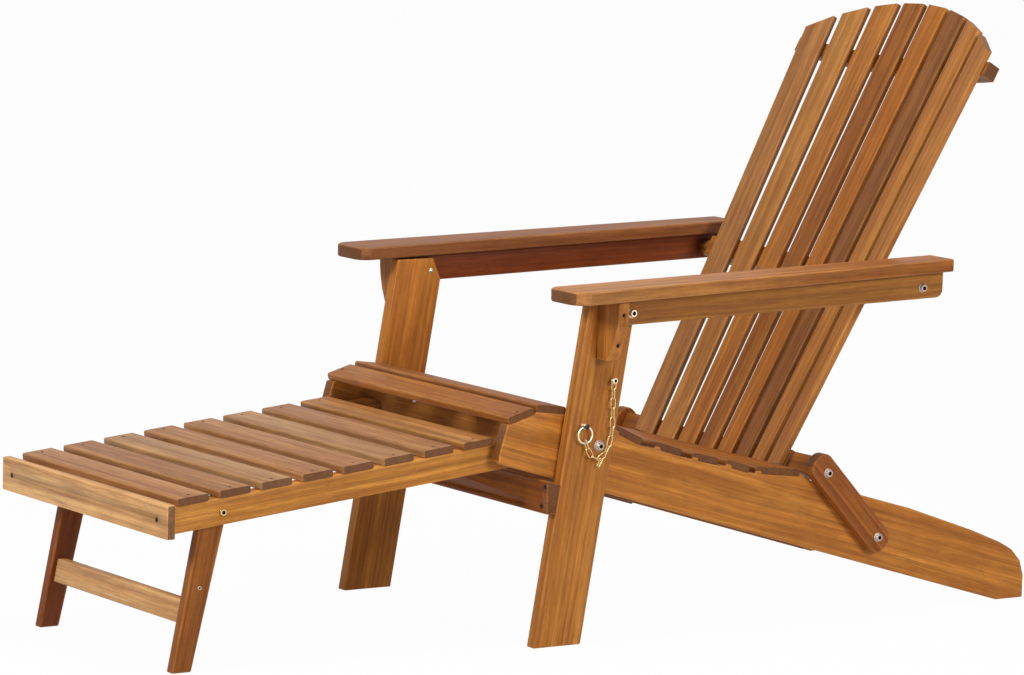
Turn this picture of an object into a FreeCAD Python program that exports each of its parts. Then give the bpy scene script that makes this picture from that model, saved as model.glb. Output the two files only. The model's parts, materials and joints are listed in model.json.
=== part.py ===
import FreeCAD, Part
import math
import os

Vec = FreeCAD.Vector

# widths across the seat, measured outward from the middle
rail_outer = 263.7
rail_thickness = 21.0
hinge_gap = 0.5
leg_thickness = 20.8
arm_gap = 0.5
arm_rail_thickness = 20.5
arm_inner = 265.0
arm_front_outer = 357.0
arm_mid_outer = 347.0
arm_rear_outer = 328.0
back_end = 262.5
slat_end = 263.4

# side rails
foot_heel = 770.9
foot_length = 56.1
rail_slope = 16.15
rail_front = -241.8
rail_front_rise = 62.0
rail_corner_radius = 14.0
rail_hip = 381.0
rail_hip_height = 224.0
rail_hip_shoulder = 9.0
tail_run = 446.0
tail_rise = 224.0
tail_shares = ((0.0, 1.0), (0.195, 0.886), (0.446, 0.746), (0.747, 0.540), (0.881, 0.433),
               (0.939, 0.371), (0.982, 0.281), (1.0, 0.165), (1.0, 0.0))
tooth_lift = 5.6
tooth_length = 15.0
tooth_taper = 3.0
tooth_depth = 21.0
tooth_clearance = 0.1

# seat slats: shares of the run and of the drop from front to rear
seat_start = -223.7
seat_run = 573.8
seat_base = 238.9
seat_drop = 143.0
seat_slat_thickness = 11.5
seat_edge_radius = 2.5
seat_slat_shares = ((0.0, 0.081, 0.874, 0.967), (0.094, 0.190, 1.0, 0.951),
                    (0.220, 0.316, 0.907, 0.768), (0.356, 0.452, 0.716, 0.536),
                    (0.495, 0.588, 0.495, 0.383), (0.624, 0.712, 0.341, 0.255),
                    (0.742, 0.823, 0.231, 0.138), (0.844, 1.0, 0.125, 0.055))
screw_radius = 3.6
screw_sink = 0.8

# guide cleats under the seat
cleat_thickness = 7.6
cleat_front = -186.0
cleat_step = -44.0
cleat_rear = 380.0
cleat_show = 3.0
cleat_relief = 1.5
cleat_height = 19.0

# pivots, measured back from the middle and up from the floor
arm_height = 569.7
arm_pivot_drop = 46.2
arm_pivot_setback = 67.97
back_pivot_drop = 32.1
back_pivot_forward = 3.9
pivot_a = (-65.0, 313.4)
pivot_d = (389.5, 241.1)
pivot_e = (496.6, 128.6)
lock_hole = (-97.8, 347.0)
bolt_radius = 4.0
running_clearance = 0.06
large_head_radius = 8.0
small_head_radius = 6.5
head_height = 3.2
washer_radius = 9.5
washer_height = 1.2

# front legs and the bar between them
leg_foot_front = -177.2
leg_lean = 9.14
leg_run = 88.9
leg_top_drop = 25.4
leg_corner_drop = 35.4
leg_corner_cut = 15.4
leg_edge_radius = 3.0
bar_front = -160.5
bar_bottom = 210.6
bar_top = 264.0
bar_slope_drop = 6.4
bar_screw_out = 279.0
bar_screw_in = 270.0
bar_screw_high = 254.0
bar_screw_low = 222.5

# brackets under the arms
bracket_setback = 13.1
bracket_thickness = 20.5
bracket_top_drop = 23.6
bracket_height = 95.1
bracket_reach = 58.5
bracket_curve_shares = ((1.0, 1.0), (0.99, 0.80), (0.94, 0.60), (0.85, 0.40), (0.70, 0.20),
                        (0.52, 0.0))
bracket_screw_drops = (20.1, 69.1)

# arms
arm_pitch = 1.46
arm_thickness = 20.5
arm_front = -163.0
arm_rear = 600.0
arm_bulge = 110.0
arm_corner_radius = 28.0
arm_nose_radius = 24.0
arm_rear_radius = 5.0
arm_edge_radius = 3.0
arm_rail_front = -45.0
arm_rail_rear = 595.5
arm_rail_drop = 44.0
arm_rail_radius = 14.0
boss_radius = 15.0

# back: distances up the back and square to it from the lower pivot
back_lean = 29.3
back_face = -15.0
back_curve_radius = 960.0
back_slat_thickness = 11.5
back_slat_count = 8
back_slat_gap = 10.8
back_half_bottom = 202.0
back_half_top = 247.0
back_half_run = 764.8
back_foot = -13.0
back_crown = 830.0
arch_radius = 411.0
back_blank = 850.0
crossrail_height = 35.0
lower_rail_drop = 14.2
crossrail_back = 15.0
crossrail_end_face = -18.0
top_rail_height = 25.0
top_rail_depth = 25.0
top_rail_place = 719.0
top_rail_end = 255.0
curve_steps = 16

# links at the back
link_width = 45.5
link_head = 33.0
link_foot = 25.0
link_bolt_depth = 25.0

# ottoman
ottoman_slope = 5.93
ottoman_origin = (-799.0, 218.0)
ottoman_rail_outer = 234.0
ottoman_rail_thickness = 21.0
ottoman_rail_height = 41.5
ottoman_rail_start = -12.4
ottoman_rail_length = 670.0
ottoman_slat_half = 239.4
ottoman_slat_first = 4.5
ottoman_slat_width = 54.5
ottoman_slat_pitch = 73.4
ottoman_slat_thickness = 12.0
ottoman_slat_count = 8
ottoman_tail_radius = 12.0
front_board_half = 255.0
front_board_face = -826.0
front_board_thickness = 14.6
front_board_bottom = 213.5
front_board_top = 266.0
front_board_screw = 223.5
front_board_screw_height = 240.0
dowel_along = 640.0
dowel_up = 15.0
dowel_radius = 8.0
dowel_half = 241.5

# ottoman legs
ottoman_leg_outer = 212.5
ottoman_leg_thickness = 18.0
ottoman_leg_pivot = (-718.0, 245.6)
ottoman_leg_top_radius = 20.0
ottoman_leg_foot_front = -787.0
ottoman_leg_foot_rear = -753.4
ottoman_leg_knee_height = 215.0
ottoman_leg_knee_front = -746.0
ottoman_leg_knee_rear = -703.0
ottoman_bar_thickness = 16.0
ottoman_bar_bottom = 72.0
ottoman_bar_height = 36.0
ottoman_bar_setback = 8.0
ottoman_bolt_radius = 3.0
ottoman_head_radius = 5.5
ottoman_screw = (-742.0, 128.0)

# hitch pins, rings and chains
pin_radius = 4.5
pin_inner = 264.3
pin_proud = 13.0
pin_bore_depth = 14.0
ring_radius = 11.6
ring_wire = 1.3
ring_eye_radius = 2.4
chain_screw = (-46.2, 416.6)
chain_screw_radius = 5.0
chain_screw_shank = 1.7
chain_screw_proud = 8.6
chain_link_slack = 4.7
chain_link_width = 10.0
chain_wire = 1.0
chain_edge_share = 0.8
chain_route = ((-46.2, 418.4), (-46.7, 403.4), (-47.1, 388.4), (-46.9, 373.4), (-46.7, 358.4),
               (-46.8, 343.4), (-48.7, 328.5), (-52.9, 314.1), (-60.0, 301.2), (-72.0, 293.8),
               (-85.0, 299.2), (-92.7, 311.2), (-97.2, 325.1))
loose_link_count = 8
loose_link_drop = (-7.4, -13.0)


def tangent(angle):
    return math.tan(math.radians(angle))


def leg_front_line(z):
    return leg_foot_front + z * tangent(leg_lean)


rail_inner = rail_outer - rail_thickness
leg_inner = rail_outer + hinge_gap
leg_outer = leg_inner + leg_thickness
arm_rail_inner = leg_outer + arm_gap
arm_rail_outer = arm_rail_inner + arm_rail_thickness
bolt_bore = bolt_radius + running_clearance
link_outer = leg_outer
leg_top = arm_height - leg_top_drop
bracket_top = arm_height - bracket_top_drop
bracket_front = leg_front_line(bracket_top) + bracket_setback
bracket_rear = bracket_front + bracket_thickness
bracket_screws = [bracket_top - drop for drop in bracket_screw_drops]
pivot_b = (leg_front_line(arm_height - arm_pivot_drop) + arm_pivot_setback,
           arm_height - arm_pivot_drop)
pivot_c_height = arm_height - back_pivot_drop
pivot_c = (pivot_d[0] + (pivot_c_height - pivot_d[1]) * tangent(back_lean) - back_pivot_forward,
           pivot_c_height)
pin_outer = leg_outer + pin_proud
chain_layer = pin_outer - pin_radius


def unit(angle):
    turn = math.radians(angle)
    return Vec(0, math.cos(turn), math.sin(turn))


def square(angle):
    return unit(angle + 90)


def in_plane(x, place):
    return Vec(x, place[0], place[1])


def wire_through(corners):
    """Closed wire through (point, radius) corners, each rounded by its radius."""
    edges = []
    ends = []
    count = len(corners)
    for index in range(count):
        point, radius = corners[index]
        before = corners[index - 1][0] - point
        after = corners[(index + 1) % count][0] - point
        before.normalize()
        after.normalize()
        if radius == 0:
            ends.append((point, point, None))
            continue
        half = before.getAngle(after) / 2
        reach = radius / math.tan(half)
        middle = before + after
        middle.normalize()
        crest = point + middle * (radius / math.sin(half) - radius)
        ends.append((point + before * reach, point + after * reach, crest))
    for index in range(count):
        start, finish, crest = ends[index]
        if crest is not None:
            edges.append(Part.Arc(start, crest, finish).toShape())
        following = ends[(index + 1) % count][0]
        if finish.distanceToPoint(following) > running_clearance:
            edges.append(Part.LineSegment(finish, following).toShape())
    return Part.Wire(Part.__sortEdges__(edges))


def plank(outline, low, high):
    """Solid from a side outline of (y, z, radius) corners, between two places across."""
    corners = [(Vec(low, y, z), radius) for y, z, radius in outline]
    return Part.Face(wire_through(corners)).extrude(Vec(high - low, 0, 0))


def block(x, y, z):
    """Box between three (low, high) pairs."""
    return Part.makeBox(x[1] - x[0], y[1] - y[0], z[1] - z[0], Vec(x[0], y[0], z[0]))


def rod(place, radius, low, high):
    """Round bar across the chair."""
    return Part.makeCylinder(radius, high - low, in_plane(low, place), Vec(1, 0, 0))


def other_side(shape):
    return shape.mirror(Vec(0, 0, 0), Vec(1, 0, 0))


def both_sides(shape):
    return Part.makeCompound([shape, other_side(shape)])


def joined(pieces):
    whole = pieces[0]
    for piece in pieces[1:]:
        whole = whole.fuse(piece)
    return whole.removeSplitter()


def eased(solid, radius, chosen):
    """Solid with the chosen edges rounded."""
    edges = [edge for edge in solid.Edges if chosen(edge)]
    return solid.makeFillet(radius, edges)


def is_level(edge, value, axis, reach):
    """Whether an edge lies wholly at one value on an axis and is long enough to ease."""
    box = edge.BoundBox
    low, high = (box.XMin, box.XMax) if axis == "x" else (box.ZMin, box.ZMax)
    slack = running_clearance
    return abs(low - value) < slack and abs(high - value) < slack and edge.Length > reach


def save(name, shape):
    shape.exportStep("parts/" + name + ".step")


def save_pair(name, shape):
    save(name + "_left", shape)
    save(name + "_right", other_side(shape))


def rail_underside(y):
    return (foot_heel - y) * tangent(rail_slope)


def seat_slats():
    """Top line of each seat slat as its front and rear points."""
    lines = []
    for near, far, high, low in seat_slat_shares:
        front = Vec(0, seat_start + seat_run * near, seat_base + seat_drop * high)
        rear = Vec(0, seat_start + seat_run * far, seat_base + seat_drop * low)
        lines.append((front, rear))
    return lines


def slat_bed(line):
    """Underside points of a slat under its top line."""
    front, rear = line
    along = rear - front
    down = Vec(0, along.z, -along.y)
    down.normalize()
    down = down * seat_slat_thickness
    return front + down, rear + down


def rail_outline():
    toe = Vec(0, rail_front, rail_underside(rail_front))
    brow = toe + square(-rail_slope) * rail_front_rise
    outline = [(foot_heel, 0, 0), (toe.y, toe.z, rail_corner_radius)]
    beds = [slat_bed(line) for line in seat_slats()]
    outline.append((brow.y, min(brow.z, beds[0][0].z), 0))
    for front, rear in beds:
        if front.y > brow.y + tooth_taper:
            outline.append((front.y, front.z, 0))
        outline.append((rear.y, rear.z, 0))
    front, rear = beds[-1]
    along = rear - front
    along.normalize()
    foot = rear + along * tooth_clearance
    shoulder = foot + Vec(0, -along.z, along.y) * (seat_slat_thickness / 2)
    outline.append((foot.y, foot.z, 0))
    outline.append((shoulder.y, shoulder.z, 0))
    outline.append((rail_hip - rail_hip_shoulder, rail_hip_height + tooth_taper, 0))
    for along, up in tail_shares:
        outline.append((rail_hip + tail_run * along, tail_rise * up, 0))
    return outline


def teeth(depth_low, depth_high, gap):
    """Small raised teeth of the rail, each under the front of a slat."""
    solids = []
    for line in seat_slats()[2:]:
        bed_front, bed_rear = slat_bed(line)
        along = bed_rear - bed_front
        along.normalize()
        up = Vec(0, -along.z, along.y)
        foot = bed_front - up * tooth_taper - along * gap
        far = bed_front - up * tooth_taper + along * (tooth_length + gap)
        crest = up * (tooth_taper + tooth_lift + gap)
        points = [foot, far, far + crest - along * tooth_taper, foot + crest]
        outline = [(point.y, point.z, 0) for point in points]
        solids.append(plank(outline, depth_low, depth_high))
    return solids


def side_rail():
    solid = plank(rail_outline(), rail_inner, rail_outer)
    solid = joined([solid] + teeth(rail_inner, rail_outer, 0))
    holes = [rod(pivot_a, bolt_bore, rail_inner, rail_outer),
             rod(pivot_e, bolt_radius, rail_inner, rail_outer),
             rod(lock_hole, pin_radius + running_clearance, rail_outer - pin_bore_depth, rail_outer)]
    for hole in holes:
        solid = solid.cut(hole)
    return solid


def seat_slat(line):
    front, rear = line
    bed_front, bed_rear = slat_bed(line)
    radius = seat_edge_radius
    outline = [(front.y, front.z, radius), (rear.y, rear.z, radius),
               (bed_rear.y, bed_rear.z, 0), (bed_front.y, bed_front.z, 0)]
    solid = plank(outline, -slat_end, slat_end)
    for tooth in teeth(rail_inner - tooth_clearance, rail_outer, tooth_clearance):
        solid = solid.cut(tooth).cut(other_side(tooth))
    return solid


def cleat():
    """Strip inside the rail on which the ottoman's rod slides."""
    lift = square(-rail_slope)
    places = ((cleat_front, cleat_relief), (cleat_step, cleat_relief), (cleat_step, -cleat_show),
              (cleat_rear, -cleat_show), (cleat_rear, cleat_height), (cleat_front, cleat_height))
    outline = []
    for y, up in places:
        point = Vec(0, y, rail_underside(y)) + lift * up
        outline.append((point.y, point.z, 0))
    return plank(outline, rail_inner - cleat_thickness, rail_inner)


def headed_bolt(place, head, start, stop, seat):
    """Bolt across the chair with a washer and a low rounded head on its outer end."""
    shank = rod(place, bolt_radius, start, stop)
    washer = rod(place, head * washer_radius / large_head_radius, seat, seat + washer_height)
    top = seat + washer_height + head_height
    cap = rod(place, head, seat + washer_height, top)
    rim = [edge for edge in cap.Edges if abs(edge.BoundBox.XMin - top) < running_clearance]
    cap = cap.makeFillet(head_height / 2, [edge for edge in rim if edge.Length > head])
    return joined([shank, washer, cap])


def front_leg():
    rear_low = leg_front_line(leg_top - leg_corner_drop) + leg_run
    rear_high = rear_low - leg_corner_cut
    radius = leg_edge_radius
    outline = [(leg_foot_front, 0, 0), (leg_foot_front + leg_run, 0, 0),
               (rear_low, leg_top - leg_corner_drop, radius), (rear_high, leg_top, radius),
               (leg_front_line(leg_top), leg_top, radius)]
    solid = plank(outline, leg_inner, leg_outer)
    holes = [rod(pivot_a, bolt_radius, leg_inner, leg_outer),
             rod(pivot_b, bolt_bore, leg_inner, leg_outer),
             rod(lock_hole, pin_radius + running_clearance, leg_inner, leg_outer),
             rod(chain_screw, chain_screw_shank, leg_outer - head_height, leg_outer)]
    for hole in holes:
        solid = solid.cut(hole)
    return solid


def screw_head(place, direction, radius):
    """Sunk screw head with a cross slot; its face is just below the wood."""
    head = Part.makeCylinder(radius, head_height, place, direction)
    slot = Part.makeCylinder(radius / 3, head_height / 2, place, direction)
    return head.cut(slot)


def bar_screws():
    inward = Vec(0, 1, 0)
    places = []
    for side in (-1, 1):
        places.append(Vec(side * bar_screw_out, bar_front + screw_sink, bar_screw_high))
        places.append(Vec(side * bar_screw_in, bar_front + screw_sink, bar_screw_low))
    return [screw_head(place, inward, screw_radius) for place in places]


def bracket_edge(height):
    """How far out the bracket's curved edge stands at a height."""
    level = (height - bracket_top + bracket_height) / bracket_height
    for upper, lower in zip(bracket_curve_shares, bracket_curve_shares[1:]):
        if lower[1] <= level <= upper[1]:
            part = (level - lower[1]) / (upper[1] - lower[1])
            return leg_outer + bracket_reach * (lower[0] + part * (upper[0] - lower[0]))
    return leg_outer + bracket_reach


def bracket_screw_heads():
    middle = (bracket_front + bracket_rear) / 2
    heads = []
    for height in bracket_screws:
        place = Vec(bracket_edge(height) - screw_radius, middle, height)
        heads.append(screw_head(place, Vec(-1, 0, 0), screw_radius))
    return heads


def bracket():
    base = bracket_top - bracket_height
    points = [Vec(leg_outer, bracket_front, base), Vec(leg_outer, bracket_front, bracket_top)]
    for out, up in bracket_curve_shares:
        points.append(Vec(leg_outer + bracket_reach * out, bracket_front,
                          base + bracket_height * up))
    face = Part.Face(Part.makePolygon(points + points[:1]))
    solid = face.extrude(Vec(0, bracket_thickness, 0))
    middle = (bracket_front + bracket_rear) / 2
    for height in bracket_screws:
        start = Vec(bracket_edge(height) - screw_radius - head_height, middle, height)
        solid = solid.cut(Part.makeCylinder(screw_radius, bracket_reach, start, Vec(1, 0, 0)))
    return solid


def front_bar():
    """Bar across the legs: plumb in front, bevelled behind to lie on the legs."""
    rear_top = bar_top - bar_slope_drop
    outline = [(bar_front, bar_bottom, 0), (bar_front, bar_top, 0),
               (leg_front_line(rear_top), rear_top, 0),
               (leg_front_line(bar_bottom), bar_bottom, 0)]
    solid = plank(outline, -leg_outer, leg_outer)
    for side in (-1, 1):
        for out, up in ((bar_screw_out, bar_screw_high), (bar_screw_in, bar_screw_low)):
            place = Vec(side * out, bar_front, up)
            depth = screw_sink + head_height
            solid = solid.cut(Part.makeCylinder(screw_radius, depth, place, Vec(0, 1, 0)))
    return solid


def chain_link(start, finish, flat):
    """Oval link whose bends pass through two places, flat against the leg or on edge."""
    along = finish - start
    length = along.Length + chain_link_slack
    middle = start + along * 0.5
    along.normalize()
    across = along.cross(Vec(1, 0, 0)) if flat else Vec(1, 0, 0)
    radius = chain_link_width / 2 - chain_wire
    if not flat:
        radius = radius * chain_edge_share
    half = length / 2 - chain_wire - radius
    head = middle + along * half
    tail = middle - along * half
    side = across * radius
    edges = [Part.Arc(head - side, head + along * radius, head + side).toShape(),
             Part.LineSegment(head + side, tail + side).toShape(),
             Part.Arc(tail + side, tail - along * radius, tail - side).toShape(),
             Part.LineSegment(tail - side, head - side).toShape()]
    path = Part.Wire(edges)
    ring = Part.makeCircle(chain_wire, head - side, along)
    return path.makePipeShell([Part.Wire([ring])], True, True)


def loose_link(start, finish):
    """Link that hangs from the lower side of the flat link between two places."""
    along = finish - start
    along.normalize()
    side = along.cross(Vec(1, 0, 0))
    if side.z > 0:
        side = side * -1
    inside = chain_link_width / 2 - chain_wire * 2 - hinge_gap
    top = start + (finish - start) * 0.5 + side * inside
    return chain_link(top, top + in_plane(0, loose_link_drop), False)


def chain():
    """Links along the route, turned in pairs, and one loose link at the low end."""
    route = [in_plane(chain_layer, place) for place in chain_route]
    links = []
    for index in range(len(route) - 1):
        links.append(chain_link(route[index], route[index + 1], index % 2 == 0))
    links.append(loose_link(route[loose_link_count], route[loose_link_count + 1]))
    return Part.makeCompound(links)


def chain_eye():
    """Round-headed screw that stands out from the leg and holds the first link."""
    outer = leg_outer + chain_screw_proud + head_height
    shank = rod(chain_screw, chain_screw_shank, leg_outer - head_height, outer)
    head = rod(chain_screw, chain_screw_radius, leg_outer + chain_screw_proud + head_height / 2,
               outer)
    return joined([shank, head])


def lock_pin():
    """Pin with a cross hole near its outer end that carries a ring."""
    body = rod(lock_hole, pin_radius, pin_inner, pin_outer)
    crest = pin_outer - pin_radius
    start = Vec(crest, lock_hole[0] - pin_radius * 2, lock_hole[1])
    body = body.cut(Part.makeCylinder(ring_eye_radius, pin_radius * 4, start, Vec(0, 1, 0)))
    centre = Vec(crest, lock_hole[0], lock_hole[1] - ring_radius)
    ring = Part.makeTorus(ring_radius, ring_wire, centre, Vec(1, 0, 0))
    return Part.makeCompound([body, ring])


def in_arm(shape):
    """Carry a shape from level at the floor to the arms' height and pitch."""
    shape.rotate(Vec(0, 0, 0), Vec(1, 0, 0), arm_pitch)
    shape.translate(Vec(0, 0, arm_height))
    return shape


def arm_board():
    corners = [(Vec(arm_inner, arm_front, -arm_thickness), arm_nose_radius),
               (Vec(arm_front_outer, arm_front, -arm_thickness), arm_corner_radius),
               (Vec(arm_mid_outer, arm_bulge, -arm_thickness), 0),
               (Vec(arm_rear_outer, arm_rear, -arm_thickness), arm_rear_radius),
               (Vec(arm_inner, arm_rear, -arm_thickness), arm_rear_radius)]
    solid = Part.Face(wire_through(corners)).extrude(Vec(0, 0, arm_thickness))
    solid = eased(solid, arm_edge_radius, lambda edge: is_level(edge, 0, "z", 0))
    solid = eased(solid, arm_edge_radius,
                  lambda edge: is_level(edge, -arm_thickness, "z", 0))
    return in_arm(solid)


def arm_underside(y):
    return arm_height + y * tangent(arm_pitch) - arm_thickness / math.cos(math.radians(arm_pitch))


def arm_rail():
    low_front = arm_underside(arm_rail_front) - arm_rail_drop
    low_rear = arm_underside(arm_rail_rear) - arm_rail_drop
    radius = arm_rail_radius
    outline = [(arm_rail_front, low_front, radius), (arm_rail_rear, low_rear, radius),
               (arm_rail_rear, arm_underside(arm_rail_rear), 0),
               (arm_rail_front, arm_underside(arm_rail_front), 0)]
    solid = plank(outline, arm_rail_inner, arm_rail_outer)
    for place in (pivot_b, pivot_c):
        solid = solid.cut(rod(place, bolt_radius, arm_rail_inner, arm_rail_outer))
    return solid


def back_boss():
    """Bolt and round wooden spacer that hold the back's middle rail between the arms."""
    inner = back_end + hinge_gap
    spacer = rod(pivot_c, boss_radius, inner, arm_rail_inner)
    bolt = headed_bolt(pivot_c, small_head_radius, inner, arm_rail_outer, arm_rail_outer)
    return Part.makeCompound([spacer.cut(rod(pivot_c, bolt_radius, inner, arm_rail_inner)), bolt])


def in_back(across, up, rear):
    """Place in the chair from a place in the back's own directions."""
    lean = math.radians(back_lean)
    y = pivot_d[0] + up * math.sin(lean) + rear * math.cos(lean)
    z = pivot_d[1] + up * math.cos(lean) - rear * math.sin(lean)
    return Vec(across, y, z)


def back_half(up):
    return back_half_bottom + (back_half_top - back_half_bottom) * up / back_half_run


def slat_section(index, up):
    """Rectangle of one back slat at a height, turned to follow the curve of the back."""
    half = back_half(up)
    width = (2 * half - (back_slat_count - 1) * back_slat_gap) / back_slat_count
    centre = -half + width / 2 + index * (width + back_slat_gap)
    turn = math.asin(centre / back_curve_radius)
    depth = back_face - centre * centre / (2 * back_curve_radius)
    side = (math.cos(turn) * width / 2, -math.sin(turn) * width / 2)
    rear = (math.sin(turn) * back_slat_thickness, math.cos(turn) * back_slat_thickness)
    flat = ((-1, 0), (1, 0), (1, 1), (-1, 1))
    points = [in_back(centre + a * side[0] + b * rear[0], up, depth + a * side[1] + b * rear[1])
              for a, b in flat]
    return Part.makePolygon(points + points[:1])


def arch_blank():
    """Everything under the arched top of the back."""
    reach = back_curve_radius / 10
    base = in_back(0, back_crown - arch_radius, -reach)
    through = in_back(0, 0, reach) - in_back(0, 0, -reach)
    disc = Part.makeCylinder(arch_radius, through.Length, base, through)
    low = [in_back(-arch_radius, back_foot, -reach), in_back(arch_radius, back_foot, -reach),
           in_back(arch_radius, back_crown - arch_radius, -reach),
           in_back(-arch_radius, back_crown - arch_radius, -reach)]
    lower = Part.Face(Part.makePolygon(low + low[:1])).extrude(through)
    return disc.fuse(lower)


def back_slats():
    arch = arch_blank()
    slats = []
    for index in range(back_slat_count):
        sections = [slat_section(index, back_foot), slat_section(index, back_blank)]
        slats.append(Part.makeLoft(sections, True, True).common(arch))
    return slats


def curve_depth(across):
    rise = across * across / (2 * back_curve_radius)
    return back_face + back_slat_thickness - rise - tooth_clearance


def crossrail(end, hollow, low, high, rear_of, slats):
    """Rail behind the slats, hollowed in front to fit them, with plain ends beyond the hollow."""
    places = [-hollow + 2 * hollow * step / curve_steps for step in range(curve_steps + 1)]
    front = [in_back(x, low, curve_depth(x)) for x in places]
    if hollow < end:
        before = [in_back(x, low, crossrail_end_face) for x in (-end, -hollow)]
        after = [in_back(x, low, crossrail_end_face) for x in (hollow, end)]
        front = before + front + after
        places = [-end] + places + [end]
    rear = [in_back(x, low, rear_of(x)) for x in reversed(places)]
    points = front + rear
    up = in_back(0, high, 0) - in_back(0, low, 0)
    solid = Part.Face(Part.makePolygon(points + points[:1])).extrude(up)
    for slat in slats:
        solid = solid.cut(slat)
    return max(solid.Solids, key=lambda body: body.Volume)


def rail_hollow(up):
    """Half width of a crossrail's hollow, just wider than the slats at a height."""
    turn = math.asin(back_half(up) / back_curve_radius)
    return back_half(up) + back_slat_thickness * math.sin(turn) + hinge_gap


def straight_rear(x):
    return crossrail_back


def curved_rear(x):
    return curve_depth(x) + top_rail_depth


def back_link():
    """Bar from the rail up to the back's lower pivot, rounded at both ends."""
    half = link_width / 2
    low = in_plane(leg_inner, pivot_e)
    along = in_plane(leg_inner, pivot_d) - low
    length = along.Length
    along.normalize()
    across = along.cross(Vec(1, 0, 0))
    foot = low - along * link_foot
    head = low + along * (length + link_head)
    round_over = half - tooth_taper
    corners = [(foot - across * half, round_over), (foot + across * half, round_over),
               (head + across * half, round_over), (head - across * half, round_over)]
    solid = Part.Face(wire_through(corners)).extrude(Vec(leg_thickness, 0, 0))
    solid = solid.cut(rod(pivot_e, bolt_bore, leg_inner, link_outer))
    return solid.cut(rod(pivot_d, bolt_radius, leg_inner, link_outer))


def in_ottoman(across, along, up):
    base = in_plane(across, ottoman_origin)
    return base + unit(ottoman_slope) * along + square(ottoman_slope) * up


def ottoman_plank(low, high, along, up, radii):
    """Board of the ottoman from (start, end) along it and (bottom, top) above its underside."""
    places = ((along[0], up[0]), (along[1], up[0]), (along[1], up[1]), (along[0], up[1]))
    corners = [(in_ottoman(low, a, b), radius) for (a, b), radius in zip(places, radii)]
    return Part.Face(wire_through(corners)).extrude(Vec(high - low, 0, 0))


def dowel_place():
    point = in_ottoman(0, dowel_along, dowel_up)
    return (point.y, point.z)


def front_board_rear():
    return front_board_face + front_board_thickness


def ottoman_rail():
    inner = ottoman_rail_outer - ottoman_rail_thickness
    span = (ottoman_rail_start, ottoman_rail_length + ottoman_rail_start)
    radii = (0, ottoman_tail_radius, ottoman_tail_radius, 0)
    solid = ottoman_plank(inner, ottoman_rail_outer, span, (0, ottoman_rail_height), radii)
    front = block((inner, ottoman_rail_outer), (front_board_face * 2, front_board_rear()),
                  (0, arm_height))
    solid = solid.cut(front)
    solid = solid.cut(rod(ottoman_leg_pivot, ottoman_bolt_radius, inner, ottoman_rail_outer))
    bore = dowel_radius + running_clearance
    return solid.cut(rod(dowel_place(), bore, inner, ottoman_rail_outer))


def ottoman_slat(index):
    start = ottoman_slat_first + ottoman_slat_pitch * index
    span = (start, start + ottoman_slat_width)
    level = (ottoman_rail_height, ottoman_rail_height + ottoman_slat_thickness)
    radii = (0, 0, seat_edge_radius, seat_edge_radius)
    return ottoman_plank(-ottoman_slat_half, ottoman_slat_half, span, level, radii)


def front_board():
    span = (front_board_face, front_board_rear())
    solid = block((-front_board_half, front_board_half), span,
                  (front_board_bottom, front_board_top))
    for side in (-1, 1):
        place = Vec(side * front_board_screw, front_board_face, front_board_screw_height)
        depth = screw_sink + head_height
        solid = solid.cut(Part.makeCylinder(screw_radius, depth, place, Vec(0, 1, 0)))
    return solid


def ottoman_hardware():
    """Front screws, and a bolt at each leg pivot with its brass head on the rail."""
    pieces = []
    for side in (-1, 1):
        place = Vec(side * front_board_screw, front_board_face + screw_sink,
                    front_board_screw_height)
        pieces.append(screw_head(place, Vec(0, 1, 0), screw_radius))
    inner = ottoman_leg_outer - ottoman_leg_thickness
    shank = rod(ottoman_leg_pivot, ottoman_bolt_radius, inner, ottoman_rail_outer)
    head = rod(ottoman_leg_pivot, ottoman_head_radius, ottoman_rail_outer,
               ottoman_rail_outer + washer_height * 2)
    bolt = shank.fuse(head)
    return Part.makeCompound(pieces + [bolt, other_side(bolt)])


def ottoman_leg():
    knee = ottoman_leg_knee_height
    lean = (ottoman_leg_knee_front - ottoman_leg_foot_front) / knee
    rear_lean = (ottoman_leg_knee_rear - ottoman_leg_foot_rear) / knee
    top = ottoman_leg_pivot[1] + ottoman_leg_top_radius
    radius = ottoman_leg_top_radius - tooth_clearance
    outline = [(ottoman_leg_foot_front, 0, 0), (ottoman_leg_foot_rear, 0, 0),
               (ottoman_leg_foot_rear + rear_lean * top, top, radius),
               (ottoman_leg_foot_front + lean * top, top, radius)]
    inner = ottoman_leg_outer - ottoman_leg_thickness
    solid = plank(outline, inner, ottoman_leg_outer)
    bore = ottoman_bolt_radius + running_clearance
    return solid.cut(rod(ottoman_leg_pivot, bore, inner, ottoman_leg_outer))


def ottoman_bar():
    half = ottoman_leg_outer - ottoman_leg_thickness
    knee = ottoman_leg_knee_height
    lean = (ottoman_leg_knee_front - ottoman_leg_foot_front) / knee
    low = ottoman_bar_bottom
    high = ottoman_bar_bottom + ottoman_bar_height
    start = ottoman_leg_foot_front + lean * low + ottoman_bar_setback
    finish = ottoman_leg_foot_front + lean * high + ottoman_bar_setback
    outline = [(start, low, 0), (start + ottoman_bar_thickness, low, 0),
               (finish + ottoman_bar_thickness, high, 0), (finish, high, 0)]
    return plank(outline, -half, half)


def save_seat():
    save_pair("side_rail", side_rail())
    save_pair("ottoman_guide_cleat", cleat())
    names = ["seat_nosing_slat"] + ["seat_slat_%d" % number for number in range(2, 8)]
    names.append("seat_rear_wide_slat")
    for name, line in zip(names, seat_slats()):
        save(name, seat_slat(line))
    bolt = headed_bolt(pivot_e, small_head_radius, rail_inner, link_outer, link_outer + hinge_gap)
    save("link_foot_bolts", both_sides(bolt))


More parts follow.
